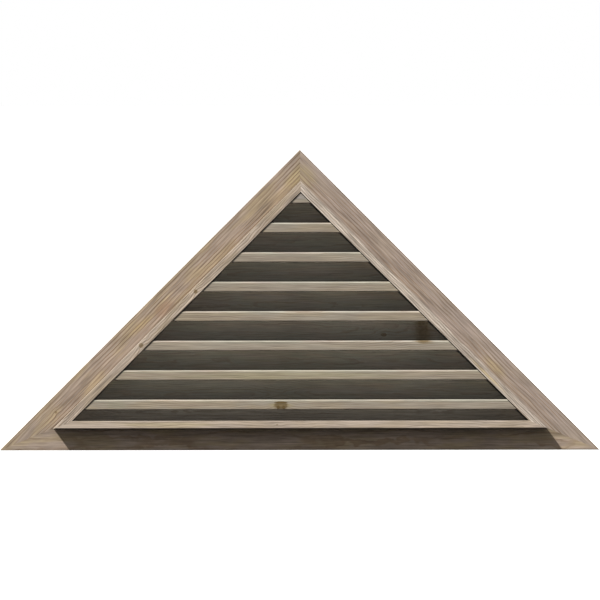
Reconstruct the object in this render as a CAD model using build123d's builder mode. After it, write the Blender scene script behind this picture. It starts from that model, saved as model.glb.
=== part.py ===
from build123d import *
import os
from math import atan, cos, floor, radians, sin, tan

# Triangular gable vent in pine, in millimetres. X runs to the right as seen from outside, Y into the wall
# and Z up. The origin is the middle of the casing's lower edge, on the face of the wall.

# Overall triangle and roof pitch
overall_width = 1524.0
rise_per_run = 1.0

# Flat casing round the vent
casing_width = 56.0
casing_thickness = 19.0

# Box of boards on edge: two jambs up the rakes and a sill
frame_stock = 19.0
frame_projection = 38.0
frame_depth = 114.0

# Slats, cut plumb at the front and the back
slat_thickness = 19.0
slat_width = 102.0
slat_slope = 35.0
slat_pitch = 75.0
slat_recess = 1.0
top_slat_drop = 6.5
sill_slat_drop = 23.6

# Barefaced tongue on each slat's ends, in a stopped housing in the jamb, with a haunch at its back
tongue_length = 6.0
tongue_thickness = 9.5
tongue_setback = 10.0
haunch_width = 20.0
shoulder_gap = 2.0
housing_slack = 0.2

# Upright strip behind the slats
support_thickness = 19.0

# Welded wire cloth over the back
mesh_pitch = 12.7
wire_size = 1.0
screen_lap = 12.0

# Staples over the wire cloth, spaced by counting its wires
staple_span = 9.0
staple_wire = 1.0
staple_width = 1.4
staple_leg = 9.0
staple_line = 7.5
staple_every = 7
support_staple_every = 10
staple_margin = 3

# Finishing nails of flat wire, with a T head and a chisel point
nail_width = 1.8
nail_thickness = 1.6
nail_head_width = 3.4
nail_head_height = 1.3
nail_point = 4.0
nail_tip_width = 0.5
nail_set = 3.0

# Nails through the jambs into the slats, and through the centre support into the slats' back edges
slat_nail_length = 45.0
slat_nail_from_back = 15.0
shortest_nailed_slat = 40.0
support_nail_grip = 15.0
support_nail_drop = 4.0

# Nails from inside the box into the casing, and through the corners of the box
casing_nail_length = 50.0
casing_nail_pitch = 200.0
corner_nail_length = 30.0
corner_nail_from_tip = 36.0
peak_nail_length = 45.0
frame_nails_from_back = (43.0, 19.0)

# Edges and clearances
eased_edge = 1.0
nail_clearance = 0.1
slot_clearance = 0.1

# The triangle's own angles and heights
rake = atan(rise_per_run)
overall_height = overall_width / 2 * rise_per_run
opening_inset = casing_width + frame_stock


def apex(inset):
    """Height of the peak of the triangle that stands in from the casing's outer edges by inset."""
    return overall_height - inset / cos(rake)


def half_width(z, inset):
    """Half the width of that triangle at height z."""
    return (apex(inset) - z) / rise_per_run


# Depths from the face of the wall, which is y = 0
frame_front = -(casing_thickness + frame_projection)
frame_back = frame_front + frame_depth
slope = tan(radians(slat_slope))
nose_y = frame_front + slat_recess
slat_back = nose_y + slat_width * cos(radians(slat_slope))
tongue_y = nose_y + tongue_setback
casing_middle = -casing_thickness / 2

# The slats are set out evenly from the smallest, under the peak, to the one that is ripped to lie on the sill
nose_height = slat_thickness / cos(radians(slat_slope))
tongue_height = tongue_thickness / cos(radians(slat_slope))
top_nose = apex(opening_inset) - top_slat_drop
slats_high = top_nose - (opening_inset - sill_slat_drop)
slat_count = round(slats_high / slat_pitch)
slat_spacing = slats_high / slat_count
sill_slat_number = slat_count + 1

# The wire cloth is laid so that a row of staples falls midway between level wires
staple_peak = apex(opening_inset - staple_line)
mesh_rows = floor((staple_peak - opening_inset + screen_lap) / mesh_pitch - 0.5)
mesh_bottom = staple_peak - (mesh_rows + 0.5) * mesh_pitch

SIDES = {"left": -1, "right": 1}


def nose_top(number):
    """Height of a slat's top front edge, slat 1 being the smallest."""
    return top_nose - (number - 1) * slat_spacing


def underside(number, y):
    """Height of a slat's underside at depth y."""
    return nose_top(number) - nose_height + slope * (y - nose_y)


def under_rakes(inset, near, far):
    """Prism along Y under both rakes, standing in from the casing's outer edges by inset."""
    foot = half_width(0, inset)
    with BuildPart() as prism:
        with BuildSketch(Plane.XZ.offset(-far)):
            Polygon((-foot, 0), (foot, 0), (0, apex(inset)), align=None)
        extrude(amount=far - near)
    return prism.part


def sloping_board(number, inset, near, far, thickness):
    """Board at a slat's slope, thickness high above its underside, cut to length by the rakes."""
    low_near, low_far = underside(number, near), underside(number, far)
    profile = ((near, low_near), (near, low_near + thickness), (far, low_far + thickness), (far, low_far))
    with BuildPart() as board:
        add(under_rakes(inset, near, far))
        with BuildSketch(Plane.YZ):
            Polygon(*profile, align=None)
        extrude(amount=overall_width / 2, both=True, mode=Mode.INTERSECT)
    return board.part


def mitred_outline(side, outer, inner):
    """Corners in the XZ plane of one board of a mitred triangle: side -1 left, 1 right, 0 bottom."""
    low_out, low_in = half_width(outer, outer), half_width(inner, inner)
    if side == 0:
        return (-low_out, outer), (low_out, outer), (low_in, inner), (-low_in, inner)
    return (side * low_out, outer), (0, apex(outer)), (0, apex(inner)), (side * low_in, inner)


def board_axis(side):
    """Direction of the grain of that board."""
    if side == 0:
        return Axis.X
    return Axis((0, 0, 0), (cos(rake), 0, -side * sin(rake)))


def mitred_board(side, outer, inner, near, far):
    """One board of a mitred triangle, its two long front edges eased."""
    with BuildPart() as board:
        with BuildSketch(Plane.XZ.offset(-far)):
            Polygon(*mitred_outline(side, outer, inner), align=None)
        extrude(amount=far - near)
        fillet(board.edges().filter_by(board_axis(side)).group_by(Axis.Y)[0], radius=eased_edge)
    return board.part


def nail(length, grow=0.0, over=0.0):
    """Nail pointing down from z = 0, or the slot it makes when grown and carried on over its head."""
    head, shank, tip = (width / 2 + grow for width in (nail_head_width, nail_width, nail_tip_width))
    thickness = nail_thickness + 2 * grow
    shoulder, point = -nail_head_height - grow, nail_point - length
    half = ((head, over), (head, shoulder), (shank, shoulder), (shank, point), (tip, -length - grow))
    with BuildPart() as solid:
        with BuildSketch(Plane.XZ.offset(-thickness / 2)):
            Polygon(*half, *[(-x, z) for x, z in reversed(half)], align=None)
        extrude(amount=thickness)
    return solid.part


def nail_slot(length, over=1.0):
    """What a nail displaces in the wood."""
    return nail(length, grow=nail_clearance, over=over)


def set_at(places, piece):
    """The same piece at each place."""
    with BuildPart() as group:
        with Locations(*places):
            add(piece)
    return group.part


def facing(point, outwards):
    """Place whose Z axis points outwards, for a fastener driven the other way."""
    return Plane(origin=point, x_dir=(0, 1, 0) if outwards[1] == 0 else (1, 0, 0), z_dir=outwards)


def slat_nail_place(side, number):
    """Level, through a jamb, into the middle of a slat's tongue."""
    y = slat_back - slat_nail_from_back
    z = underside(number, y) + tongue_height / 2
    return facing((side * (half_width(z, casing_width) - nail_set), y, z), (side, 0, 0))


def support_nail_place(number):
    """Level, from the back, into a slat's back edge."""
    z = underside(number, slat_back) + nose_height / 2 - support_nail_drop
    return facing((0, frame_back, z), (0, 1, 0))


def casing_nail_place(side, number):
    """Square to a jamb, midway between a slat and the next one down, into the casing's inner edge."""
    z = (underside(number, casing_middle) + underside(number + 1, casing_middle) + nose_height) / 2
    inwards = (-side * sin(rake), 0, -cos(rake))
    return facing((side * half_width(z, opening_inset), casing_middle, z), inwards)


def corner_nail_place(side, y):
    """Through a jamb's outer face, near the bottom corner, into the sill."""
    x = half_width(casing_width, casing_width) - corner_nail_from_tip * cos(rake)
    z = casing_width + corner_nail_from_tip * sin(rake)
    return facing((side * x, y, z), (side * sin(rake), 0, cos(rake)))


def peak_nail_place(side, y):
    """Through a jamb's outer face, at the peak, into the end of the other jamb."""
    x, z = frame_stock / 2 * cos(rake), apex(casing_width) - frame_stock / 2 * sin(rake)
    return facing((side * x, y, z), (side * sin(rake), 0, cos(rake)))


def staple_place(column, row):
    """A staple astride an upright wire, its Z axis pointing out of the back."""
    height = mesh_bottom + (row + 0.5) * mesh_pitch
    return facing((column * mesh_pitch, frame_back + wire_size, height), (0, 1, 0))


# Where the nails go
support_nail_length = frame_back - slat_back + support_nail_grip
nailed_slats = [
    number
    for number in range(1, slat_count + 1)
    if 2 * half_width(underside(number, slat_back), opening_inset) > shortest_nailed_slat
]
supported_slats = nailed_slats + [sill_slat_number]
casing_nail_gaps = range(2, sill_slat_number, 2)
bottom_nails = 2 * floor(half_width(0, 0) / casing_nail_pitch)
bottom_nail_places = [
    facing(((n - (bottom_nails - 1) / 2) * casing_nail_pitch, casing_middle, opening_inset), (0, 0, 1))
    for n in range(bottom_nails)
]
frame_nail_depths = [frame_back - distance for distance in frame_nails_from_back]
corner_nail_places = {
    side: [corner_nail_place(side, y) for y in frame_nail_depths] for side in SIDES.values()
}
peak_nail_places = [peak_nail_place(side, y) for side, y in zip(SIDES.values(), frame_nail_depths)]

# Where the staples go: on a rake, a staple's column and row add up to the same number all the way along
last_staple = mesh_rows - staple_margin
staple_places = {
    name: [
        staple_place(side * column, mesh_rows - column)
        for column in range(staple_margin, last_staple, staple_every)
    ]
    for name, side in SIDES.items()
}
staple_places["sill"] = [
    staple_place(side * column, 0)
    for side in SIDES.values()
    for column in range(staple_every, last_staple, staple_every)
]
staple_places["support"] = [
    staple_place(0, row) for row in range(staple_margin, last_staple, support_staple_every)
]


def staple():
    """Flat-wire staple: a crown on the wire cloth and two legs into the wood."""
    depth = wire_size + staple_leg
    with BuildPart() as solid:
        with BuildSketch(Plane.XZ.offset(-staple_width / 2)):
            with Locations((0, staple_wire)):
                Rectangle(staple_span + staple_wire, depth + staple_wire, align=(Align.CENTER, Align.MAX))
            Rectangle(staple_span - staple_wire, depth, align=(Align.CENTER, Align.MAX), mode=Mode.SUBTRACT)
        extrude(amount=staple_width)
    return solid.part


def staple_slots():
    """The two slots that a staple's legs make in the wood."""
    with BuildPart() as slots:
        with BuildSketch(Plane.XY.offset(-wire_size)):
            with GridLocations(staple_span, 0, 2, 1):
                Rectangle(staple_wire + 2 * slot_clearance, staple_width + 2 * slot_clearance)
        extrude(amount=-staple_leg - slot_clearance)
    return slots.part


def housing(number):
    """Stopped housing across both jambs for a slat's tongues."""
    return sloping_board(
        number,
        opening_inset - tongue_length - housing_slack,
        tongue_y - housing_slack,
        slat_back + housing_slack,
        tongue_height + housing_slack,
    )


slots = staple_slots()
housings = [housing(number) for number in range(1, slat_count + 1)]


def jamb(name):
    """Rake board of the box, with a housing for each slat and its nail and staple slots."""
    side = SIDES[name]
    with BuildPart() as board:
        add(mitred_board(side, casing_width, opening_inset, frame_front, frame_back))
        for slat_housing in housings:
            add(slat_housing, mode=Mode.SUBTRACT)
        with Locations(*[slat_nail_place(side, number) for number in nailed_slats]):
            add(nail_slot(slat_nail_length, nail_set + nail_head_width / rise_per_run), mode=Mode.SUBTRACT)
        with Locations(*[casing_nail_place(side, number) for number in casing_nail_gaps]):
            add(nail_slot(casing_nail_length), mode=Mode.SUBTRACT)
        with Locations(*corner_nail_places[side]):
            add(nail_slot(corner_nail_length), mode=Mode.SUBTRACT)
        with Locations(*peak_nail_places):
            add(nail_slot(peak_nail_length), mode=Mode.SUBTRACT)
        with Locations(*staple_places[name]):
            add(slots, mode=Mode.SUBTRACT)
    return board.part


def rake_casing(name):
    """Flat trim up one rake, nailed through its inner edge."""
    side = SIDES[name]
    with BuildPart() as board:
        add(mitred_board(side, 0, casing_width, -casing_thickness, 0))
        with Locations(*[casing_nail_place(side, number) for number in casing_nail_gaps]):
            add(nail_slot(casing_nail_length), mode=Mode.SUBTRACT)
    return board.part


def slat(number):
    """Slat with a plumb nose, ends cut to the rakes and a haunched barefaced tongue at each end."""
    haunch_y = slat_back - haunch_width
    with BuildPart() as board:
        add(sloping_board(number, opening_inset + shoulder_gap, nose_y, slat_back, nose_height))
        add(sloping_board(number, opening_inset - tongue_length, tongue_y, slat_back, tongue_height))
        fillet(board.edges().filter_by(Axis.X).group_by(Axis.Y)[0], radius=eased_edge)
        if number in nailed_slats:
            add(sloping_board(number, opening_inset + housing_slack, haunch_y, slat_back, nose_height))
            with Locations(*[slat_nail_place(side, number) for side in SIDES.values()]):
                add(nail_slot(slat_nail_length), mode=Mode.SUBTRACT)
            with Locations(support_nail_place(number)):
                add(nail_slot(support_nail_length), mode=Mode.SUBTRACT)
    return board.part


# Bottom board of the casing
with BuildPart() as bottom_casing:
    add(mitred_board(0, 0, casing_width, -casing_thickness, 0))
    with Locations(*bottom_nail_places):
        add(nail_slot(casing_nail_length), mode=Mode.SUBTRACT)

# Sill of the box
with BuildPart() as sill:
    add(mitred_board(0, casing_width, opening_inset, frame_front, frame_back))
    with Locations(*bottom_nail_places):
        add(nail_slot(casing_nail_length), mode=Mode.SUBTRACT)
    with Locations(*corner_nail_places[-1], *corner_nail_places[1]):
        add(nail_slot(corner_nail_length), mode=Mode.SUBTRACT)
    with Locations(*staple_places["sill"]):
        add(slots, mode=Mode.SUBTRACT)

# Slat below the last, ripped along its front to lie on the sill between the jambs
with BuildPart() as sill_slat:
    add(sloping_board(sill_slat_number, opening_inset + housing_slack, nose_y, slat_back, nose_height))
    split(bisect_by=Plane.XY.offset(opening_inset), keep=Keep.TOP)
    with Locations(support_nail_place(sill_slat_number)):
        add(nail_slot(support_nail_length), mode=Mode.SUBTRACT)

# Upright strip behind the slats, pointed to fit under the peak
with BuildPart() as centre_support:
    add(under_rakes(opening_inset, slat_back, frame_back))
    with BuildSketch(Plane.XY.offset(opening_inset)):
        Rectangle(support_thickness, 2 * frame_back)
    extrude(amount=overall_height, mode=Mode.INTERSECT)
    with Locations(*[support_nail_place(number) for number in supported_slats]):
        add(nail_slot(support_nail_length), mode=Mode.SUBTRACT)
    with Locations(*staple_places["support"]):
        add(slots, mode=Mode.SUBTRACT)


def wires(upright, near):
    """One layer of the wire cloth, trimmed to the triangle that laps onto the box's back edges."""
    peak = apex(opening_inset - screen_lap)
    foot = (peak - mesh_bottom + wire_size / 2) / rise_per_run
    low = mesh_bottom - wire_size / 2
    with BuildPart() as layer:
        with BuildSketch(Plane.XZ.offset(-near - wire_size)):
            if upright:
                with GridLocations(mesh_pitch, 0, 2 * mesh_rows + 1, 1):
                    Rectangle(wire_size, overall_height, align=(Align.CENTER, Align.MIN))
            else:
                with Locations(*[(0, mesh_bottom + row * mesh_pitch) for row in range(mesh_rows + 1)]):
                    Rectangle(overall_width, wire_size)
            Polygon((-foot, low), (foot, low), (0, peak), align=None, mode=Mode.INTERSECT)
        extrude(amount=wire_size)
    return layer.part


bird_screen = Compound(wires(True, frame_back).solids() + wires(False, frame_back + wire_size).solids())

# Fasteners, each kind a group of loose solids
screen_staples = set_at([place for places in staple_places.values() for place in places], staple())
slat_nails = set_at(
    [slat_nail_place(side, number) for side in SIDES.values() for number in nailed_slats],
    nail(slat_nail_length),
)
support_nails = set_at([support_nail_place(number) for number in supported_slats], nail(support_nail_length))
casing_nails = set_at(
    [casing_nail_place(side, number) for side in SIDES.values() for number in casing_nail_gaps]
    + bottom_nail_places,
    nail(casing_nail_length),
)
corner_nails = set_at([*corner_nail_places[-1], *corner_nail_places[1]], nail(corner_nail_length))
peak_nails = set_at(peak_nail_places, nail(peak_nail_length))
frame_nails = Compound(corner_nails.solids() + peak_nails.solids())

pieces = {
    "left_rake_casing": rake_casing("left"),
    "right_rake_casing": rake_casing("right"),
    "bottom_casing": bottom_casing.part,
    "left_jamb": jamb("left"),
    "right_jamb": jamb("right"),
    "sill": sill.part,
    "sill_slat": sill_slat.part,
    "centre_support": centre_support.part,
    "bird_screen": bird_screen,
    "screen_staples": screen_staples,
    "frame_nails": frame_nails,
    "slat_nails": slat_nails,
    "support_nails": support_nails,
    "casing_nails": casing_nails,
}
for number in range(1, slat_count + 1):
    pieces[f"slat_{number}"] = slat(number)

os.makedirs("parts", exist_ok=True)
for name, piece in pieces.items():
    piece.label = name
    export_step(piece, f"parts/{name}.step")
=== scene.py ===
# Looks of a triangular gable vent in bare weathered pine, around its solid model
import math

import bmesh
import bpy
from bpy.props import FloatProperty, FloatVectorProperty, PointerProperty
from mathutils import Matrix, Vector


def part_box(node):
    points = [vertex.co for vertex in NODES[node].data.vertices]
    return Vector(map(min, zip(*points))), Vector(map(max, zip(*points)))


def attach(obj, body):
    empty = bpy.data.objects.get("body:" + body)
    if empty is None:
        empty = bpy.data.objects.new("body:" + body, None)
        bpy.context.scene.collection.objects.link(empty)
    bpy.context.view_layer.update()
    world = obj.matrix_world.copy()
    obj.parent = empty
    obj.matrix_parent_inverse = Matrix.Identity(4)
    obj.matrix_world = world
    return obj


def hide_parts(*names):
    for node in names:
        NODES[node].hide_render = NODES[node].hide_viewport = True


bl_info = {
    "name": "Gable vent",
    "version": (1, 0, 0),
    "blender": (4, 5, 0),
    "location": "3D View > Sidebar > Gable vent",
    "description": "Weathered pine, wire cloth and daylight for a louvred gable vent",
    "category": "Object",
}

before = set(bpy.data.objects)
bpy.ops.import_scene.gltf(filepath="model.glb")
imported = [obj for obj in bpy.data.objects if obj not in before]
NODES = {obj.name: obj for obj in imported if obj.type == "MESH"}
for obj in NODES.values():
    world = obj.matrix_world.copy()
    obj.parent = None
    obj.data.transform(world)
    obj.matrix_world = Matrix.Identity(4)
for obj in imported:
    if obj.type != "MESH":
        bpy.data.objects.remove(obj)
BODY = "root"


def srgb(red, green, blue):
    """A colour given in the 0 to 255 steps of a screen, as the linear light that shaders take."""
    steps = (step / 255 for step in (red, green, blue))
    return tuple(step / 12.92 if step <= 0.04045 else ((step + 0.055) / 1.055) ** 2.4 for step in steps)


# Places read from the solid model, in metres
CASING_LOW, CASING_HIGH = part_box("left_rake_casing")
SILL_LOW, SILL_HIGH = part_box("sill")
SCREEN_LOW, SCREEN_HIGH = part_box("bird_screen")
APEX_HEIGHT = CASING_HIGH.z
CASING_FACE = CASING_LOW.y
CASING_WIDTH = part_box("bottom_casing")[1].z
SILL_TOP = SILL_HIGH.z
FRAME_STOCK = SILL_HIGH.z - SILL_LOW.z
NOSE_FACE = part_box("slat_8")[0].y
OPENING_APEX = APEX_HEIGHT - (CASING_WIDTH + FRAME_STOCK) * math.sqrt(2)
RAKE = math.radians(45)
SLAT_SLOPE = math.radians(35)

# The wire cloth and its staples: pitch, span and leg in metres, the bend of a staple's shoulder in wire
# radii, and the staples' places in meshes of the cloth
WIRE_SIDES = 8
MESH_PITCH = 0.0127
MESH_COUNT = math.floor(SCREEN_HIGH.x / MESH_PITCH - 0.5)
STAPLE_SPAN = 0.009
STAPLE_LEG = 0.009
STAPLE_SHOULDER = 2.5
BEND_STEPS = 4
STAPLE_MARGIN = 3
STAPLE_EVERY = 7
SUPPORT_STAPLE_EVERY = 10


class PineSettings(bpy.types.PropertyGroup):
    """Colours and sizes of the weathered pine."""

    pink_tone: FloatVectorProperty(
        name="Pinkish grey", description="Commonest colour of the casing",
        subtype="COLOR", min=0, max=1, default=srgb(170, 152, 136),
    )
    box_tone: FloatVectorProperty(
        name="Pale", description="Paler pine of the jambs and the sill",
        subtype="COLOR", min=0, max=1, default=srgb(188, 172, 155),
    )
    slat_tone: FloatVectorProperty(
        name="Slats", description="Commonest colour of the slats",
        subtype="COLOR", min=0, max=1, default=srgb(158, 148, 132),
    )
    heart_tone: FloatVectorProperty(
        name="Heartwood", description="Yellow-brown where the weather has taken less",
        subtype="COLOR", min=0, max=1, default=srgb(166, 147, 113),
    )
    grey_tone: FloatVectorProperty(
        name="Silvering", description="Grey-brown of the most weathered streaks",
        subtype="COLOR", min=0, max=1, default=srgb(142, 127, 114),
    )
    late_tone: FloatVectorProperty(
        name="Late wood", description="Dark lines of the growth rings",
        subtype="COLOR", min=0, max=1, default=srgb(128, 106, 84),
    )
    knot_tone: FloatVectorProperty(
        name="Knots", description="Brown of the knots",
        subtype="COLOR", min=0, max=1, default=srgb(118, 96, 58),
    )
    damp_tone: FloatVectorProperty(
        name="Damp", description="Grey-green where rain lies on the slats",
        subtype="COLOR", min=0, max=1, default=srgb(146, 150, 132),
    )
    worn_tone: FloatVectorProperty(
        name="Worn edges", description="Bleached grey along the slats' upper front edges",
        subtype="COLOR", min=0, max=1, default=srgb(161, 153, 146),
    )
    ring_spacing: FloatProperty(
        name="Ring spacing", description="From one growth ring to the next",
        subtype="DISTANCE", unit="LENGTH", min=0.001, max=0.02, default=0.0048,
    )
    fibre_length: FloatProperty(
        name="Fibre length", description="Length of the fine streaks along the grain",
        subtype="DISTANCE", unit="LENGTH", min=0.005, max=0.2, default=0.06,
    )
    fibre_width: FloatProperty(
        name="Fibre width", description="Width of the fine streaks along the grain",
        subtype="DISTANCE", unit="LENGTH", min=0.0002, max=0.01, default=0.0014,
    )
    # Painted shade and light on the slats' tops: darker just behind their front edges, paler further back
    painted_front_shade: FloatProperty(
        name="Grime", description="How much darker the slats' tops are just behind their front edges",
        min=0, max=1, default=0.52,
    )
    painted_back_light: FloatProperty(
        name="Shelter", description="How much paler the slats are where those above keep off the rain",
        min=0, max=2, default=0.98,
    )
    relief: FloatProperty(
        name="Relief", description="How far the late wood stands out where rain has worn the rest",
        subtype="DISTANCE", unit="LENGTH", min=0, max=0.002, default=0.0004,
    )


class WireSettings(bpy.types.PropertyGroup):
    """Sizes and colours of the wire cloth, its staples and the nails."""

    zinc: FloatVectorProperty(
        name="Zinc", description="Dull galvanised wire",
        subtype="COLOR", min=0, max=1, default=srgb(168, 172, 174),
    )
    steel: FloatVectorProperty(
        name="Steel", description="Nail heads",
        subtype="COLOR", min=0, max=1, default=srgb(142, 138, 132),
    )
    wire_radius: FloatProperty(
        name="Wire radius", description="Half the thickness of the wire cloth's wires",
        subtype="DISTANCE", unit="LENGTH", min=0.0002, max=0.002, default=0.0005,
    )
    weld_depth: FloatProperty(
        name="Weld", description="How far crossing wires are pressed into each other",
        subtype="DISTANCE", unit="LENGTH", min=0, max=0.0003, default=0.00008,
    )


class StageSettings(bpy.types.PropertyGroup):
    """Floor, lamps and camera."""

    floor_shown: FloatVectorProperty(
        name="Floor", description="The floor as the camera sees it",
        subtype="COLOR", min=0, max=1, default=(0.86, 0.86, 0.86),
    )
    floor_bounce: FloatVectorProperty(
        name="Floor bounce", description="The floor as it lights the vent",
        subtype="COLOR", min=0, max=1, default=(0.03, 0.03, 0.03),
    )
    key_strength: FloatProperty(
        name="Key", description="Strength of the light from the upper left",
        min=0, max=20, default=4.75,
    )
    back_strength: FloatProperty(
        name="Back", description="Strength of the light behind the vent",
        min=0, max=20, default=1.3,
    )
    fill_strength: FloatProperty(
        name="Fill", description="Strength of the light from all round",
        min=0, max=2, default=0.48,
    )
    net_strength: FloatProperty(
        name="Net", description="Share of the fill that the sheet behind the noses keeps off the slats",
        min=0, max=1, default=0.68,
    )
    camera_distance: FloatProperty(
        name="Camera distance", description="From the camera to the vent",
        subtype="DISTANCE", unit="LENGTH", min=2, max=50, default=40,
    )
    camera_turn: FloatProperty(
        name="Camera turn", description="How far to the left of the vent the camera stands",
        subtype="ANGLE", unit="ROTATION", min=-1, max=1, default=math.radians(2.6),
    )
    camera_rise: FloatProperty(
        name="Camera rise", description="How far the camera looks down on the vent",
        subtype="ANGLE", unit="ROTATION", min=-1, max=1, default=math.radians(1.2),
    )


class Value:
    """A shader socket that takes part in sums as a number does."""

    def __init__(self, graph, socket):
        self.graph, self.socket = graph, socket

    def __add__(self, other):
        return self.graph.math("ADD", self, other)

    __radd__ = __add__

    def __sub__(self, other):
        return self.graph.math("SUBTRACT", self, other)

    def __rsub__(self, other):
        return self.graph.math("SUBTRACT", other, self)

    def __mul__(self, other):
        return self.graph.math("MULTIPLY", self, other)

    __rmul__ = __mul__

    def __truediv__(self, other):
        return self.graph.math("DIVIDE", self, other)

    def __pow__(self, other):
        return self.graph.math("POWER", self, other)


class Graph:
    """The nodes of a material or a world, round the shader that it starts with."""

    def __init__(self, owner, shader="Principled BSDF"):
        owner.use_nodes = True
        self.owner = owner
        self.tree = owner.node_tree
        self.shader = self.tree.nodes[shader]

    def node(self, kind, inputs=None, output=0, **settings):
        """A node of that kind: its settings first, then the values or links of its sockets."""
        made = self.tree.nodes.new(kind)
        for name, value in settings.items():
            setattr(made, name, value)
        for name, value in (inputs or {}).items():
            if isinstance(value, Value):
                self.tree.links.new(value.socket, made.inputs[name])
            else:
                made.inputs[name].default_value = value
        return Value(self, made.outputs[output])

    def math(self, operation, *values):
        return self.node("ShaderNodeMath", dict(enumerate(values)), operation=operation)

    def vector(self, operation, first, second):
        return self.node("ShaderNodeVectorMath", {0: first, 1: second}, operation=operation)

    def mix(self, factor, first, second):
        """One colour where factor is 0 and another where it is 1."""
        first, second = (c if isinstance(c, Value) else (*c, 1) for c in (first, second))
        return self.node("ShaderNodeMix", {0: factor, 6: first, 7: second}, output=2, data_type="RGBA")

    def noise(self, place, detail=2.0, roughness=0.5):
        inputs = {"Vector": place, "Scale": 1.0, "Detail": detail, "Roughness": roughness}
        return self.node("ShaderNodeTexNoise", inputs)

    def step(self, value, low, high):
        """0 below low and 1 above high, smooth between them."""
        inputs = {"Value": value, "From Min": low, "From Max": high}
        return self.node("ShaderNodeMapRange", inputs, interpolation_type="SMOOTHSTEP")

    def place(self):
        """Where a point of the vent is, in metres."""
        return self.node("ShaderNodeTexCoord", output="Object")

    def parts(self, vector):
        """The x, y and z of a vector."""
        split = self.node("ShaderNodeSeparateXYZ", {0: vector})
        return (Value(self, socket) for socket in split.socket.node.outputs)

    def seen(self):
        """1 on rays from the camera or off gloss and glass, 0 on light that spreads."""
        camera, gloss, glass = (
            self.node("ShaderNodeLightPath", output=f"Is {ray} Ray")
            for ray in ("Camera", "Glossy", "Transmission")
        )
        return self.math("MAXIMUM", camera, self.math("MAXIMUM", gloss, glass))

    def set(self, socket, value):
        """Gives one of the shader's own sockets a link or a plain value."""
        if isinstance(value, Value):
            self.tree.links.new(value.socket, self.shader.inputs[socket])
        else:
            self.shader.inputs[socket].default_value = value


class Board:
    """Where a board lies: its middle, the pith of its log beside it, and the turn of its grain."""

    def __init__(self, middle, pith, seed, turn=(0, 0, 0)):
        self.middle, self.pith, self.seed, self.turn = middle, pith, seed, turn


class Knot:
    """A branch through a board along its own y or z axis, at a place along and across the board.

    Strength is how dark it shows, waves how close its own rings lie, and stretch how many times longer
    it is along the board than across it. Where end is given, it is gone behind that place on the
    board's y axis.
    """

    def __init__(self, axis, along, across, radius, strength=0.75, waves=11.0, stretch=1.0, end=None):
        self.axis, self.along, self.across, self.radius = axis, along, across, radius
        self.strength, self.waves, self.stretch, self.end = strength, waves, stretch, end


class Stain:
    """A soft patch of another colour, at a place along and across a board, size metres long and wide."""

    def __init__(self, along, across, size, tone, strength):
        self.along, self.across, self.size = along, across, size
        self.tone, self.strength = tone, strength


class Edge:
    """A line along a board, at a place across it: darker than the rest, or lighter where it is under 0."""

    def __init__(self, across, width, darkening):
        self.across, self.width, self.darkening = across, width, darkening


class Mark:
    """A kind of mark in pine: noise of that length along the grain and that width across it.

    The mark starts to show where the noise is at low, and shows in full where it is at high.
    """

    def __init__(self, length, width, low=0.0, high=1.0, detail=2.0, roughness=0.5):
        self.length, self.width, self.low, self.high = length, width, low, high
        self.detail, self.roughness = detail, roughness


class Tones:
    """Which colours a board is made of, and how strongly each shows.

    Heart, grey, lines, smudge and damp are the shares of heartwood, silvering, late wood, smudges and
    damp. Spacing, fine and waver multiply the rings' spacing, the fine grain's contrast and the waver
    of the rings.
    """

    def __init__(
        self, base, heart, grey, lines, smudge=0.3, damp=0.0, spacing=1.0, fine=1.0, waver=1.0
    ):
        self.base, self.heart, self.grey, self.lines = base, heart, grey, lines
        self.smudge, self.damp, self.spacing = smudge, damp, spacing
        self.fine, self.waver = fine, waver


def scaled(parts, factor):
    """A colour or a size with each of its parts times factor."""
    return tuple(part * factor for part in parts)


# Marks in the pine, in metres. The first three are noise that runs through the whole board
RING_WAVER = Mark(0.22, 0.06, detail=1.0)
RING_RIPPLE = Mark(0.035, 0.02)
KNOT_BARK = Mark(0.008, 0.008)
FINE_GRAIN = Mark(0.07, 0.0042, roughness=0.55)
SILVER_STREAK = Mark(0.2, 0.007, 0.42, 0.68, detail=3.0, roughness=0.6)
HEARTWOOD_PATCH = Mark(0.11, 0.028, 0.4, 0.62)
LATE_WOOD_PATCH = Mark(0.16, 0.03, 0.3, 0.6)
SMUDGE = Mark(0.06, 0.022, 0.55, 0.72)
DAMP_PATCH = Mark(0.14, 0.06, 0.38, 0.6)
CRACK = Mark(0.1, 0.0011, 0.74, 0.8, detail=1.0)
CRACKED_PATCH = Mark(0.09, 0.04, 0.52, 0.62, detail=1.0)

# How far apart in the noise two boards are whose seeds differ by one
SEED_STRIDE = (3.1, 1.7, 2.3)

# Growth rings: how far they waver and ripple in metres, the parts of a ring's width between which its
# late wood darkens and ends, and how strong late wood is where it is faintest
WAVER_REACH = 0.02
RIPPLE_REACH = 0.006
LATE_WOOD_DARKENS = (0.5, 0.85)
LATE_WOOD_ENDS = (0.88, 1.0)
FAINTEST_LATE_WOOD = 0.25

# Knots, in their own radii: how rough the bark is, where the knot ends and where the rings part round
# it, and how far they part. How sharply a cut knot ends is in metres
BARK_ROUGHNESS = 0.5
KNOT_RIM = (0.7, 1.2)
RINGS_PART = (0.3, 5.0)
RINGS_PUSH = 0.8
CUT_FADE = 0.001

# Stains, in their own half sizes: how ragged the grain makes their rim, and where it is
STAIN_RAGGEDNESS = 1.2
STAIN_RIM = (0.35, 1.15)

# How much the fibres and the fine grain change the shade, and how much of an edge's width is darkest
FIBRE_CONTRAST = 0.8
GRAIN_CONTRAST = 1.2
EDGE_CORE = 0.4

# How high late wood, fibres, fine grain and knots stand, and how deep cracks go, as shares of the relief
LATE_WOOD_RISE = 0.6
FIBRE_RISE = 0.3
GRAIN_RISE = 0.4
KNOT_RISE = 0.4
CRACK_DEPTH = 1.5

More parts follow.
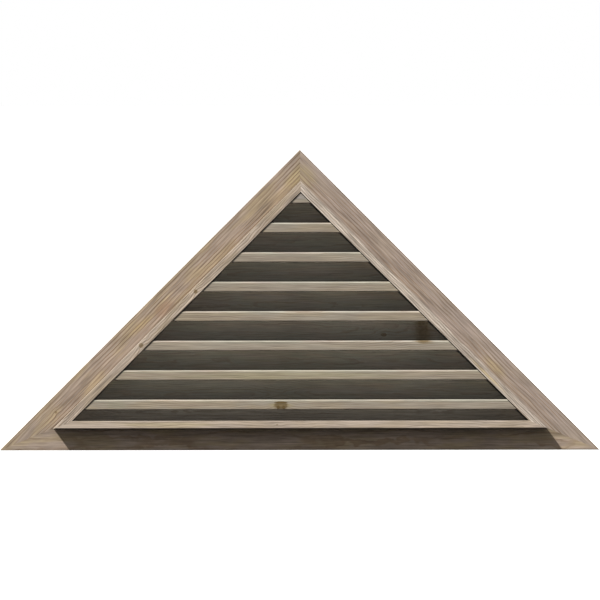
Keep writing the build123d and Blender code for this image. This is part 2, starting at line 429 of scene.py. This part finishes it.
# How rough the pine is, how much smoother its late wood is, and how strongly it shines
PINE_ROUGHNESS = 0.86
LATE_WOOD_POLISH = 0.12
PINE_SHINE = 0.25

# How strongly bleached edges, the rings of knots and cracks show, and the tones of smudges and of the
# deepest marks as shares of the tones round them
BLEACH_STRENGTH = 0.85
KNOT_RING_STRENGTH = 0.6
CRACK_STRENGTH = 0.7
SMUDGE_TONE = 0.72
DEEP_TONE = 0.3

# Depths behind the noses' face, in metres: where a slat's top begins behind its nose, where the painted
# shade just behind the nose fades, and over which the painted shade on the top turns to painted light
BEHIND_NOSE_DEPTHS = (0.0038, 0.006)
NOSE_SHADE_FADES = (0.007, 0.011)
PAINTED_LIGHT_DEPTHS = (0.0038, 0.072)

# Distances from a jamb between which the painted shade and shadow at a slat's end fade, and from the
# vent's middle between which the noses without that painted shadow start, in metres
JAMB_SHADE_FADES = (0.002, 0.006)
UNSHADED_SIDE_STARTS = (-0.01, 0.01)

# Heights above a slat's middle, square to its top, between which its damp and its bleached upper edge
# start, in metres
DAMP_RISES = (0.004, 0.009)
BLEACH_RISES = (0.0088, 0.0094)

# How much darker the painted shade just behind a nose and the painted shade and shadow at the slats'
# ends are than the rest
NOSE_SHADE_DARKENING = 0.45
JAMB_SHADE_DARKENING = 0.93


# Zinc: its darkest tone as a share of its palest, how rough it is there, and how much rougher where pale
ZINC_SHADE = 0.72
ZINC_ROUGHNESS = 0.36
ZINC_BLOOM = 0.3

# Nails: how rough their steel is, where in its noise rust starts and is full, its tone, and how strongly
# it covers, roughens and dulls the steel
STEEL_ROUGHNESS = 0.4
RUST_SPREAD = (0.55, 0.75)
RUST_TONE = srgb(112, 74, 48)
RUST_COVER = 0.6
RUST_ROUGHNESS = 0.4
RUST_DULLNESS = 0.7


class Grain:
    """A board's own place in its material, with x along its grain, and noise drawn out along it."""

    def __init__(self, graph, board):
        self.graph = graph
        self.place = graph.place()
        self.local = graph.node(
            "ShaderNodeMapping",
            {"Vector": self.place, "Location": board.middle, "Rotation": board.turn},
            vector_type="TEXTURE",
        )
        self.shift = tuple(board.seed * stride for stride in SEED_STRIDE)
        self.along, self.y, self.z = graph.parts(self.local)

    def noise(self, mark):
        """The noise of a kind of mark."""
        stretch = (1 / mark.length, 1 / mark.width, 1 / mark.width)
        stretched = self.graph.vector("MULTIPLY", self.local, stretch)
        shifted = self.graph.vector("ADD", stretched, self.shift)
        return self.graph.noise(shifted, mark.detail, mark.roughness)

    def marks(self, mark):
        """1 where a kind of mark shows in full and 0 where it doesn't show."""
        return self.graph.step(self.noise(mark), mark.low, mark.high)


class PaintedSlatShade:
    """Painted shade and light on a slat, by its depth behind the noses and its nearness to the jambs."""

    def __init__(self, grain):
        self.graph = grain.graph
        self.x, self.depth, self.height = self.graph.parts(grain.place)
        self.behind_nose = self.deep(BEHIND_NOSE_DEPTHS)

    def deep(self, depths):
        """0 nearer to the noses' face than the first depth and 1 further behind it than the second."""
        start, full = depths
        return self.graph.step(self.depth, NOSE_FACE + start, NOSE_FACE + full)

    def shade(self):
        """How light the painted shade and light leave each part of a slat."""
        wood = bpy.context.scene.vent_pine
        # Painted shade just behind the front edge, turning to painted light further back
        depth_shading = self.deep(PAINTED_LIGHT_DEPTHS) * wood.painted_back_light - wood.painted_front_shade
        # A line of painted shade just behind the nose
        nose_shade = self.behind_nose * (1 - self.deep(NOSE_SHADE_FADES))
        # Painted shade by the jambs, and the left jamb's painted shadow on the noses; noses right of the
        # middle have none
        from_jamb = (OPENING_APEX - self.height - self.graph.math("ABSOLUTE", self.x)) * math.sqrt(0.5)
        unshaded_noses = self.graph.step(self.x, *UNSHADED_SIDE_STARTS) * (1 - self.behind_nose)
        jamb_shade = (1 - self.graph.step(from_jamb, *JAMB_SHADE_FADES)) * (1 - unshaded_noses)
        top = depth_shading * self.behind_nose + 1.0
        return top * (1 - nose_shade * NOSE_SHADE_DARKENING) * (1 - jamb_shade * JAMB_SHADE_DARKENING)


def knot_marks(grain, knots):
    """Where a board's knots and their own rings show, and how far the growth rings part round them."""
    graph = grain.graph
    mask, rings, bulge = 0.0, 0.0, 0.0
    for knot in knots:
        across = grain.y if knot.axis == "z" else grain.z
        along = (grain.along - knot.along) / knot.stretch
        from_middle = (along ** 2.0 + (across - knot.across) ** 2.0) ** 0.5
        far = from_middle / knot.radius + (grain.noise(KNOT_BARK) - 0.5) * BARK_ROUGHNESS
        inside = 1 - graph.step(far, *KNOT_RIM)
        if knot.end is not None:
            past_end = graph.step(grain.y, knot.end - CUT_FADE, knot.end + CUT_FADE)
            inside = inside * (1 - past_end)
        mask = graph.math("MAXIMUM", inside * knot.strength, mask)
        ringed = (graph.math("SINE", far * knot.waves) * 0.5 + 0.5) * inside
        rings = graph.math("MAXIMUM", ringed * knot.strength, rings)
        bulge = (1 - graph.step(far, *RINGS_PART)) * (knot.radius * RINGS_PUSH) + bulge
    return mask, rings, bulge


def late_wood(grain, board, tones, bulge):
    """The dark lines of the growth rings, which lie round the pith and waver along the board."""
    wood = bpy.context.scene.vent_pine
    graph = grain.graph
    waver = (grain.noise(RING_WAVER) - 0.5) * (WAVER_REACH * tones.waver)
    ripple = (grain.noise(RING_RIPPLE) - 0.5) * (RIPPLE_REACH * tones.waver)
    radius = ((grain.y - board.pith[0]) ** 2.0 + (grain.z - board.pith[1]) ** 2.0) ** 0.5
    ring = graph.math("FRACT", (radius + waver + ripple + bulge) / (wood.ring_spacing * tones.spacing))
    late = graph.step(ring, *LATE_WOOD_DARKENS) * (1 - graph.step(ring, *LATE_WOOD_ENDS))
    return late * (grain.marks(LATE_WOOD_PATCH) * (1 - FAINTEST_LATE_WOOD) + FAINTEST_LATE_WOOD)


def stained(grain, colour, stain, lines):
    """The colour with a stain on it, whose rim the lines of the grain make ragged."""
    length, width = stain.size
    along = (grain.along - stain.along) / (length / 2)
    across = (grain.z - stain.across) / (width / 2)
    off = (along ** 2.0 + across ** 2.0) ** 0.5
    cover = 1 - grain.graph.step(off + (lines - 0.5) * STAIN_RAGGEDNESS, *STAIN_RIM)
    return grain.graph.mix(cover * stain.strength, colour, stain.tone)


def pine(name, board, tones, knots=(), stains=(), edges=(), louvre=False):
    """Bare weathered pine as a solid texture that follows the board's own grain.

    A louvre board is a slat, which also gets painted shade and light behind its nose and near the jambs.
    """
    wood = bpy.context.scene.vent_pine
    graph = Graph(bpy.data.materials.new(name))
    grain = Grain(graph, board)
    slat_shading = PaintedSlatShade(grain) if louvre else None
    knot_mask, knot_rings, bulge = knot_marks(grain, knots)
    late = late_wood(grain, board, tones, bulge)
    fibre = grain.noise(Mark(wood.fibre_length, wood.fibre_width, detail=3.0, roughness=0.6))
    lines = grain.noise(FINE_GRAIN)
    crack = grain.marks(CRACK) * grain.marks(CRACKED_PATCH)

    # Colours, from the wood's own to what lies on it
    colour = graph.mix(grain.marks(HEARTWOOD_PATCH) * tones.heart, tones.base, wood.heart_tone)
    if slat_shading:
        bleached = graph.step(grain.z, *BLEACH_RISES) * (1 - slat_shading.behind_nose)
        colour = graph.mix(bleached * BLEACH_STRENGTH, colour, wood.worn_tone)
    for stain in stains:
        colour = stained(grain, colour, stain, lines)
    colour = graph.mix(grain.marks(SILVER_STREAK) * tones.grey, colour, wood.grey_tone)
    smudge_tone = scaled(wood.grey_tone, SMUDGE_TONE)
    colour = graph.mix(grain.marks(SMUDGE) * tones.smudge, colour, smudge_tone)
    if tones.damp:
        damp = grain.marks(DAMP_PATCH) * graph.step(grain.z, *DAMP_RISES)
        colour = graph.mix(damp * tones.damp, colour, wood.damp_tone)
    colour = graph.mix(late * tones.lines, colour, wood.late_tone)
    if knots:
        colour = graph.mix(knot_mask, colour, wood.knot_tone)
        colour = graph.mix(knot_rings * KNOT_RING_STRENGTH, colour, scaled(wood.knot_tone, DEEP_TONE))
    colour = graph.mix(crack * CRACK_STRENGTH, colour, scaled(wood.late_tone, DEEP_TONE))

    # Light and dark, where 1 is the colour as it is
    fibrous = (fibre - 0.5) * (FIBRE_CONTRAST * tones.fine)
    shade = fibrous + (lines - 0.5) * (GRAIN_CONTRAST * tones.fine) + 1.0
    # A slat's painted shade and light
    if slat_shading:
        shade = shade * slat_shading.shade()
    for edge in edges:
        off_edge = graph.math("ABSOLUTE", grain.z - edge.across)
        near = 1 - graph.step(off_edge, edge.width * EDGE_CORE, edge.width)
        shade = shade * (1 - near * edge.darkening)
    shaded = graph.node("ShaderNodeVectorMath", {0: colour, "Scale": shade}, operation="SCALE")

    # Late wood, fibres and knots stand out, and cracks go in
    rise = late * LATE_WOOD_RISE + fibre * FIBRE_RISE + lines * GRAIN_RISE - crack * CRACK_DEPTH
    if knots:
        rise = rise + knot_mask * KNOT_RISE
    bump = graph.node("ShaderNodeBump", {"Strength": 1.0, "Distance": wood.relief, "Height": rise})
    graph.set("Base Color", shaded)
    graph.set("Roughness", PINE_ROUGHNESS - late * LATE_WOOD_POLISH)
    graph.set("Normal", bump)
    graph.set("Specular IOR Level", PINE_SHINE)
    return graph.owner


def specks(graph, count, detail, roughness):
    """Noise with about count specks to a metre."""
    place = graph.vector("MULTIPLY", graph.place(), (count, count, count))
    return graph.noise(place, detail, roughness)


def zinc():
    """Dull zinc with its crystals, on round wire."""
    wire = bpy.context.scene.vent_wire
    graph = Graph(bpy.data.materials.new("galvanised_wire"))
    bloom = specks(graph, count=220, detail=3.0, roughness=0.65)
    graph.set("Base Color", graph.mix(bloom, scaled(wire.zinc, ZINC_SHADE), wire.zinc))
    graph.set("Roughness", ZINC_ROUGHNESS + bloom * ZINC_BLOOM)
    graph.set("Metallic", 1.0)
    return graph.owner


def bright_steel():
    """Drawn steel wire with a first bloom of rust."""
    wire = bpy.context.scene.vent_wire
    graph = Graph(bpy.data.materials.new("nail_steel"))
    rust = graph.step(specks(graph, count=300, detail=3.0, roughness=0.6), *RUST_SPREAD)
    graph.set("Base Color", graph.mix(rust * RUST_COVER, wire.steel, RUST_TONE))
    graph.set("Roughness", STEEL_ROUGHNESS + rust * RUST_ROUGHNESS)
    graph.set("Metallic", 1 - rust * RUST_DULLNESS)
    return graph.owner


def dress(node, material):
    """Gives a solid of the frame its material."""
    NODES[node].material_slots[0].material = material


def rake_board(side, inset, pith, seed):
    """A board up the left (-1) or right (1) rake, whose middle is inset from the casing's outer edge."""
    middle = APEX_HEIGHT / 2 - inset / math.sqrt(2)
    return Board((side * middle, 0, middle), pith, seed, turn=(0, side * RAKE, 0))


def tube(bm, start, end, radius):
    """Adds a straight round wire with closed ends to a mesh."""
    line = end - start
    turn = line.to_track_quat("Z", "Y").to_matrix().to_4x4()
    place = Matrix.Translation((start + end) / 2) @ turn
    bmesh.ops.create_cone(
        bm, cap_ends=True, segments=WIRE_SIDES, radius1=radius, radius2=radius, depth=line.length,
        matrix=place,
    )


def finish_piece(name, bm, material, slot, *nodes):
    """Makes a finished object of a mesh, in place of some of the frame's solids."""
    mesh = bpy.data.meshes.new(name)
    bm.to_mesh(mesh)
    bm.free()
    mesh.materials.append(material)
    piece = bpy.data.objects.new(name, mesh)
    bpy.context.scene.collection.objects.link(piece)
    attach(piece, BODY)
    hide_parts(*nodes)


class VENT_OT_casing(bpy.types.Operator):
    """Dress the three boards of the flat casing"""

    bl_idname = "vent.casing"
    bl_label = "Casing"

    def execute(self, context):
        wood = context.scene.vent_pine
        half = CASING_WIDTH / 2
        dark = scaled(wood.grey_tone, 0.85)
        # Painted shade along the inner edge, where the casing meets the jamb, and a thin darker line along
        # the outer edge
        rake_edges = (Edge(half, 0.003, 0.16), Edge(-half, 0.005, 0.1))

        left = rake_board(-1, half, pith=(0.03, 0.085), seed=1.0)
        left_tones = Tones(
            scaled(wood.pink_tone, 0.95), heart=0.65, grey=0.42, lines=1.0, smudge=0.3,
            spacing=1.4, waver=0.5,
        )
        left_knots = (Knot("y", -0.37, -0.004, 0.0035, strength=0.5),)
        left_stains = (
            Stain(0.335, -0.012, (0.15, 0.024), dark, 0.7),
            Stain(-0.3, -0.008, (0.12, 0.026), dark, 0.7),
            Stain(0.01, -0.012, (0.07, 0.04), srgb(150, 118, 92), 0.6),
            Stain(0.478, -0.012, (0.08, 0.036), srgb(174, 156, 114), 0.6),
            Stain(-0.06, 0.0, (0.09, 0.03), srgb(170, 146, 104), 0.5),
        )
        left_pine = pine("left_rake_casing_pine", left, left_tones, left_knots, left_stains, rake_edges)
        dress("left_rake_casing", left_pine)

        right = rake_board(1, half, pith=(0.03, -0.07), seed=2.0)
        right_tones = Tones(
            srgb(164, 148, 136), heart=0.15, grey=0.5, lines=0.85, smudge=0.2, spacing=1.35, waver=0.5
        )
        right_stains = (
            Stain(-0.2, -0.012, (0.5, 0.022), dark, 0.5),
            Stain(0.2, -0.012, (0.09, 0.03), srgb(172, 152, 112), 0.6),
            Stain(-0.485, -0.008, (0.08, 0.05), srgb(174, 156, 114), 0.55),
        )
        right_pine = pine(
            "right_rake_casing_pine", right, right_tones, stains=right_stains, edges=rake_edges
        )
        dress("right_rake_casing", right_pine)

        bottom = Board((0, 0, half), pith=(0.04, -0.01), seed=3.0)
        bottom_tones = Tones(
            scaled(wood.pink_tone, 0.97), heart=0.6, grey=0.4, lines=0.7, smudge=0.25, spacing=1.3
        )
        # Painted shade under the box along the upper edge, in a narrow and a wide band; a thin darker line
        # along the lower edge
        bottom_edges = (Edge(-half, 0.005, 0.1), Edge(half, 0.007, 0.3), Edge(half, 0.035, 0.18))
        bottom_pine = pine("bottom_casing_pine", bottom, bottom_tones, edges=bottom_edges)
        dress("bottom_casing", bottom_pine)
        return {"FINISHED"}


class VENT_OT_box(bpy.types.Operator):
    """Dress the jambs and the sill of the box"""

    bl_idname = "vent.box"
    bl_label = "Box"

    def execute(self, context):
        wood = context.scene.vent_pine
        half = FRAME_STOCK / 2
        inset = CASING_WIDTH + half
        outer = Edge(half, 0.002, 0.22)

        left = rake_board(-1, inset, pith=(-0.02, 0.05), seed=4.0)
        left_tones = Tones(
            scaled(wood.box_tone, 0.98), heart=0.4, grey=0.45, lines=0.9, smudge=0.4, fine=1.5
        )
        left_knots = (
            Knot("y", 0.0968, 0.0007, 0.0055),
            Knot("y", -0.0975, 0.0018, 0.0062, strength=0.65),
        )
        # A painted highlight along the jamb's inner edge and inner face, beside the opening
        left_edges = (Edge(-half, 0.0025, -0.12), outer)
        dress("left_jamb", pine("left_jamb_pine", left, left_tones, left_knots, edges=left_edges))

        right = rake_board(1, inset, pith=(-0.03, -0.045), seed=5.0)
        right_tones = Tones(
            srgb(206, 193, 179), heart=0.12, grey=0.4, lines=0.8, smudge=0.25, fine=1.5
        )
        right_stains = (Stain(0.2, -0.003, (0.14, 0.009), srgb(188, 168, 118), 0.7),)
        # A painted highlight along the jamb's inner edge and inner face, beside the opening
        right_edges = (Edge(-half, 0.0025, -0.22), outer)
        right_pine = pine("right_jamb_pine", right, right_tones, stains=right_stains, edges=right_edges)
        dress("right_jamb", right_pine)

        sill = Board((0, 0, SILL_TOP - half), pith=(-0.02, 0.05), seed=6.0)
        sill_tones = Tones(wood.box_tone, heart=0.3, grey=0.25, lines=0.4, smudge=0.1, fine=0.75)
        sill_knots = (Knot("y", -0.06, 0.0, 0.002, strength=0.5),)
        sill_stains = (Stain(-0.343, 0.0, (0.28, 0.018), srgb(184, 168, 132), 0.6),)
        # Painted shade over the sill's underside and along its lower front edge
        sill_edges = (Edge(-half, 0.0026, 0.7),)
        dress("sill", pine("sill_pine", sill, sill_tones, sill_knots, sill_stains, sill_edges))
        return {"FINISHED"}


class VENT_OT_slats(bpy.types.Operator):
    """Dress the slats, each with its own grain"""

    bl_idname = "vent.slats"
    bl_label = "Slats"

    # Tones of the sill slat, whose nose the sill hides, and of the others, as shares of the slats' tone;
    # the sill slat's higher tone is painted light on its top, where little light reaches
    SILL_SLAT_PAINTED_LIGHT = 2.0
    OTHERS_TONE = 0.98

    # Just in front of the nose's upper corner on a slat's own y axis, where the nose's knots are cut off
    NOSE_CORNER = -0.0445
    KNOTS = {
        "slat_6": (
            Knot("y", 0.311, 0.0195, 0.0125, strength=0.8, waves=3.0, stretch=2.1),
            Knot("z", 0.212, -0.015, 0.008, strength=0.8),
        ),
        "slat_8": (
            Knot("y", -0.0498, -0.0005, 0.008, strength=0.7, waves=3.0, stretch=2.3, end=NOSE_CORNER),
            Knot("y", -0.0568, -0.0045, 0.0042, strength=1.0, waves=1.5, end=NOSE_CORNER),
            Knot("y", -0.0433, -0.0045, 0.0042, strength=1.0, waves=1.5, end=NOSE_CORNER),
            Knot("y", -0.0498, 0.006, 0.002, strength=1.0, waves=1.5, stretch=8.5, end=NOSE_CORNER),
        ),
    }
    STAINS = {
        "slat_6": (Stain(0.313, 0.009, (0.056, 0.012), srgb(128, 112, 84), 0.8),),
        "slat_7": (Stain(-0.04, 0.0, (0.64, 0.024), srgb(164, 156, 122), 0.55),),
        "slat_8": (
            Stain(-0.0498, 0.0, (0.07, 0.012), srgb(164, 150, 108), 0.7),
            Stain(-0.4676, 0.0, (0.06, 0.022), srgb(148, 144, 122), 0.6),
        ),
    }

    def execute(self, context):
        wood = context.scene.vent_pine
        names = sorted(name for name in NODES if "slat" in name and "nails" not in name)
        for index, name in enumerate(names):
            low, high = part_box(name)
            middle = (0, (low.y + high.y) / 2, (low.z + high.z) / 2)

            # Each slat comes from its own place in a log, with more or less heartwood
            pith = (0.01 - 0.012 * (index % 3), 0.045 + 0.01 * (index % 4))
            heart = 0.12 + 0.1 * (index % 3)
            board = Board(middle, pith, seed=7.0 + index, turn=(SLAT_SLOPE, 0, 0))
            # The sill slat gets a lighter tone as painted light
            share = self.SILL_SLAT_PAINTED_LIGHT if name == "sill_slat" else self.OTHERS_TONE
            tones = Tones(
                scaled(wood.slat_tone, share), heart, grey=0.4, lines=0.5, smudge=0.08, damp=0.35,
                fine=0.7,
            )
            nose_height = high.z - low.z - (high.y - low.y) * math.tan(SLAT_SLOPE)
            half = nose_height * math.cos(SLAT_SLOPE) / 2
            # A painted highlight along each nose's upper edge and over the top, painted shade along its
            # lower edge and underside
            edges = (Edge(half, 0.0018, -0.14), Edge(-half, 0.0026, 0.65))
            knots, stains = self.KNOTS.get(name, ()), self.STAINS.get(name, ())
            dress(name, pine(f"{name}_pine", board, tones, knots, stains, edges, louvre=True))
        return {"FINISHED"}


class VENT_OT_support(bpy.types.Operator):
    """Dress the upright strip behind the slats"""

    bl_idname = "vent.support"
    bl_label = "Centre support"

    def execute(self, context):
        wood = context.scene.vent_pine
        low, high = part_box("centre_support")
        upright = (0, math.radians(-90), 0)
        board = Board(tuple((low + high) / 2), pith=(0.03, 0.03), seed=20.0, turn=upright)
        tones = Tones(wood.heart_tone, heart=0.3, grey=0.4, lines=0.6)
        dress("centre_support", pine("centre_support_pine", board, tones))
        return {"FINISHED"}


def add_part(bm, part):
    """Adds a mesh in the making to another one, and frees it."""
    mesh = bpy.data.meshes.new("part")
    part.to_mesh(mesh)
    part.free()
    bm.from_mesh(mesh)
    bpy.data.meshes.remove(mesh)


def whole(bm):
    """All the vertices, edges and faces of a mesh in the making."""
    return bm.verts[:] + bm.edges[:] + bm.faces[:]


def pools(first, count, radii):
    """A row of drops of zinc along X, one at each upright wire."""
    row = bmesh.new()
    place = Matrix.Translation(first) @ Matrix.Diagonal((*radii, 1))
    bmesh.ops.create_icosphere(row, subdivisions=1, radius=1, matrix=place)
    if count > 1:
        bmesh.ops.spin(
            row, geom=whole(row), axis=(0, 0, 1), dvec=(MESH_PITCH, 0, 0), angle=0, steps=count - 1,
            use_duplicate=True,
        )
    return row


def only(kind, geometry):
    """The vertices or the edges of what an operator gives back."""
    return [item for item in geometry if isinstance(item, kind)]


def staple(middle, radius):
    """A staple of round wire with bent shoulders: its crown along X at middle, its legs towards -Y."""
    bm = bmesh.new()
    shoulder = STAPLE_SHOULDER * radius
    straight = STAPLE_SPAN / 2 - radius - shoulder
    end_on = Matrix.Rotation(math.radians(90), 4, "Y")
    bmesh.ops.create_circle(bm, segments=WIRE_SIDES, radius=radius, matrix=end_on)
    crown = bmesh.ops.extrude_edge_only(bm, edges=bm.edges[:])["geom"]
    bmesh.ops.translate(bm, vec=(straight, 0, 0), verts=only(bmesh.types.BMVert, crown))
    bend = bmesh.ops.spin(
        bm, geom=only(bmesh.types.BMEdge, crown), cent=(straight, -shoulder, 0), axis=(0, 0, -1),
        angle=math.radians(90), steps=BEND_STEPS,
    )["geom_last"]
    leg = bmesh.ops.extrude_edge_only(bm, edges=only(bmesh.types.BMEdge, bend))["geom"]
    reach = STAPLE_LEG + radius - shoulder
    bmesh.ops.translate(bm, vec=(0, -reach, 0), verts=only(bmesh.types.BMVert, leg))
    bmesh.ops.contextual_create(bm, geom=only(bmesh.types.BMEdge, leg))
    bmesh.ops.mirror(bm, geom=whole(bm), axis="X", merge_dist=radius / 100)
    bmesh.ops.recalc_face_normals(bm, faces=bm.faces[:])
    bmesh.ops.translate(bm, vec=middle, verts=bm.verts[:])
    return bm


def staple_places():
    """Column and row of the crossing below each staple: up the rakes, along the sill, up the middle."""
    last = MESH_COUNT - STAPLE_MARGIN
    for side in (-1, 1):
        for column in range(STAPLE_MARGIN, last, STAPLE_EVERY):
            yield side * column, MESH_COUNT - column
        for column in range(STAPLE_EVERY, last, STAPLE_EVERY):
            yield side * column, 0
    for row in range(STAPLE_MARGIN, last, SUPPORT_STAPLE_EVERY):
        yield 0, row


class VENT_OT_screen(bpy.types.Operator):
    """Lay the wire cloth out of round wires, with zinc pooled where they cross, and staple it on"""

    bl_idname = "vent.screen"
    bl_label = "Wire cloth and staples"

    # Half the size of a pool of zinc along X, Y and Z, in wire radii
    POOL = (1.5, 1.1, 1.5)

    def execute(self, context):
        wire = context.scene.vent_wire
        radius = wire.wire_radius
        upright_y = SCREEN_LOW.y + radius
        level_y = upright_y + 2 * radius - wire.weld_depth
        weld_y = (upright_y + level_y) / 2
        pool = scaled(self.POOL, radius)
        lowest = SCREEN_LOW.z + radius
        zinc_coat = zinc()
        cloth = bmesh.new()
        for column in range(-MESH_COUNT, MESH_COUNT + 1):
            x = column * MESH_PITCH
            top = SCREEN_HIGH.z - abs(x) - radius
            tube(cloth, Vector((x, upright_y, SCREEN_LOW.z)), Vector((x, upright_y, top)), radius)
        for row in range(MESH_COUNT + 1):
            z = lowest + row * MESH_PITCH
            reach = SCREEN_HIGH.z - z - radius
            tube(cloth, Vector((-reach, level_y, z)), Vector((reach, level_y, z)), radius)
        for row in range(MESH_COUNT + 1):
            each_side = MESH_COUNT - row
            first = (-each_side * MESH_PITCH, weld_y, lowest + row * MESH_PITCH)
            add_part(cloth, pools(first, 2 * each_side + 1, pool))
        self.finish("wire_cloth", cloth, zinc_coat, "bird_screen")
        staples = bmesh.new()
        for column, row in staple_places():
            middle = (column * MESH_PITCH, SCREEN_HIGH.y - radius, lowest + (row + 0.5) * MESH_PITCH)
            add_part(staples, staple(middle, radius))
        self.finish("round_staples", staples, zinc_coat, "screen_staples")
        return {"FINISHED"}

    def finish(self, name, bm, material, node):
        """Smooths the round wires of a piece and puts it in place of a solid."""
        for face in bm.faces:
            face.smooth = True
        finish_piece(name, bm, material, "galvanised_wire", node)


class VENT_OT_fasteners(bpy.types.Operator):
    """Dress the nails"""

    bl_idname = "vent.fasteners"
    bl_label = "Nails"

    def execute(self, context):
        steel = bright_steel()
        for name in ("frame_nails", "slat_nails", "support_nails", "casing_nails"):
            dress(name, steel)
        return {"FINISHED"}


class VENT_OT_stage(bpy.types.Operator):
    """Set the floor, the lamps and the camera"""

    bl_idname = "vent.stage"
    bl_label = "Stage"

    # Half the floor's width, how far it lies below the vent, and how far the flag hangs behind the noses
    FLOOR_REACH = 100
    FLOOR_DROP = 0.0002
    FLAG_SET_BACK = 0.0043

    # Which way each lamp's light travels, and how wide the lamp looks in degrees
    KEY_TRAVEL = (0.73, 0.667, -1.0)
    KEY_SPREAD = 1.5
    BACK_TRAVEL = (-0.3, -1.0, -1.2)
    BACK_SPREAD = 40.0

    # Widths of the photograph and of the vent in it, in pixels
    PHOTO_WIDTH = 600
    VENT_WIDTH = 599.8

    # Width of the camera's sensor in millimetres, and how far it sees in metres
    SENSOR_WIDTH = 36
    SIGHT = 300

    def execute(self, context):
        stage = context.scene.vent_stage
        self.floor(stage)
        self.flag(stage)
        self.lamps(stage)
        self.surroundings(stage)
        self.camera(stage)
        return {"FINISHED"}

    def floor(self, stage):
        bm = bmesh.new()
        bmesh.ops.create_grid(bm, x_segments=1, y_segments=1, size=self.FLOOR_REACH)
        bmesh.ops.translate(bm, vec=(0, 0, -self.FLOOR_DROP), verts=bm.verts)
        mesh = bpy.data.meshes.new("floor")
        bm.to_mesh(mesh)
        bm.free()
        graph = Graph(bpy.data.materials.new("floor"))
        graph.set("Base Color", graph.mix(graph.seen(), stage.floor_bounce, stage.floor_shown))
        graph.set("Roughness", 0.9)
        graph.set("Specular IOR Level", 0.0)
        mesh.materials.append(graph.owner)
        floor = bpy.data.objects.new("floor", mesh)
        bpy.context.scene.collection.objects.link(floor)

    def flag(self, stage):
        """An unseen sheet behind the noses, which stops the key and thins the fill on the slats' tops."""
        half = OPENING_APEX - SILL_TOP
        bm = bmesh.new()
        corners = [
            bm.verts.new((x, NOSE_FACE + self.FLAG_SET_BACK, z))
            for x, z in ((-half, SILL_TOP), (half, SILL_TOP), (0, OPENING_APEX))
        ]
        bm.faces.new(corners)
        mesh = bpy.data.meshes.new("flag")
        bm.to_mesh(mesh)
        bm.free()
        graph = Graph(bpy.data.materials.new("flag"))
        path = graph.node("ShaderNodeLightPath", output="Is Shadow Ray")
        graph.set("Alpha", path * (1 - stage.net_strength) + stage.net_strength)
        graph.set("Base Color", (0, 0, 0, 1))
        graph.set("Roughness", 1.0)
        graph.set("Specular IOR Level", 0.0)
        mesh.materials.append(graph.owner)
        flag = bpy.data.objects.new("flag", mesh)
        for ray in ("camera", "glossy", "transmission", "volume_scatter"):
            setattr(flag, f"visible_{ray}", False)
        bpy.context.scene.collection.objects.link(flag)

    def lamps(self, stage):
        for name, travel, strength, spread, shadow in (
            ("key", self.KEY_TRAVEL, stage.key_strength, self.KEY_SPREAD, True),
            ("back", self.BACK_TRAVEL, stage.back_strength, self.BACK_SPREAD, False),
        ):
            light = bpy.data.lights.new(name, "SUN")
            light.energy = strength
            light.angle = math.radians(spread)
            light.use_shadow = shadow
            lamp = bpy.data.objects.new(name, light)
            lamp.rotation_euler = Vector(travel).to_track_quat("-Z", "Y").to_euler()
            bpy.context.scene.collection.objects.link(lamp)

    def surroundings(self, stage):
        world = bpy.data.worlds.new("surroundings")
        graph = Graph(world, "Background")
        graph.set("Color", (1, 1, 1, 1))
        graph.set("Strength", graph.seen() * (1 - stage.fill_strength) + stage.fill_strength)
        world.cycles.sampling_method = "NONE"
        bpy.context.scene.world = world

    def camera(self, stage):
        data = bpy.data.cameras.new("camera")
        target = Vector((0, CASING_FACE, APEX_HEIGHT / 2))
        turn, rise = stage.camera_turn, stage.camera_rise
        flat = math.cos(rise)
        away = Vector((-math.sin(turn) * flat, -math.cos(turn) * flat, math.sin(rise)))
        seen_width = 2 * APEX_HEIGHT * math.cos(turn) * self.PHOTO_WIDTH / self.VENT_WIDTH
        data.sensor_width = self.SENSOR_WIDTH
        data.lens = data.sensor_width * stage.camera_distance / seen_width
        data.clip_end = self.SIGHT
        camera = bpy.data.objects.new("camera", data)
        camera.location = target + away * stage.camera_distance
        camera.rotation_euler = (-away).to_track_quat("-Z", "Y").to_euler()
        bpy.context.scene.collection.objects.link(camera)
        bpy.context.scene.camera = camera
        bpy.context.scene.view_settings.view_transform = "Standard"


class VENT_PT_panel(bpy.types.Panel):
    """The vent's settings and steps"""

    bl_label = "Gable vent"
    bl_idname = "VENT_PT_panel"
    bl_space_type = "VIEW_3D"
    bl_region_type = "UI"
    bl_category = "Gable vent"

    def draw(self, context):
        for name, group in SETTINGS.items():
            box = self.layout.box()
            box.label(text=group.__doc__)
            for prop in group.__annotations__:
                box.prop(getattr(context.scene, name), prop)
        for step in STEPS:
            self.layout.operator(step.bl_idname)


SETTINGS = {"vent_pine": PineSettings, "vent_wire": WireSettings, "vent_stage": StageSettings}
STEPS = (
    VENT_OT_casing,
    VENT_OT_box,
    VENT_OT_slats,
    VENT_OT_support,
    VENT_OT_screen,
    VENT_OT_fasteners,
    VENT_OT_stage,
)
CLASSES = (*SETTINGS.values(), *STEPS, VENT_PT_panel)


def register():
    for cls in CLASSES:
        bpy.utils.register_class(cls)
    for name, group in SETTINGS.items():
        setattr(bpy.types.Scene, name, PointerProperty(type=group))


def unregister():
    for name in SETTINGS:
        delattr(bpy.types.Scene, name)
    for cls in reversed(CLASSES):
        bpy.utils.unregister_class(cls)


def main():
    register()
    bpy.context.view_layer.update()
    for step in STEPS:
        family, action = step.bl_idname.split(".")
        getattr(getattr(bpy.ops, family), action)()


if __name__ == "__main__":
    main()
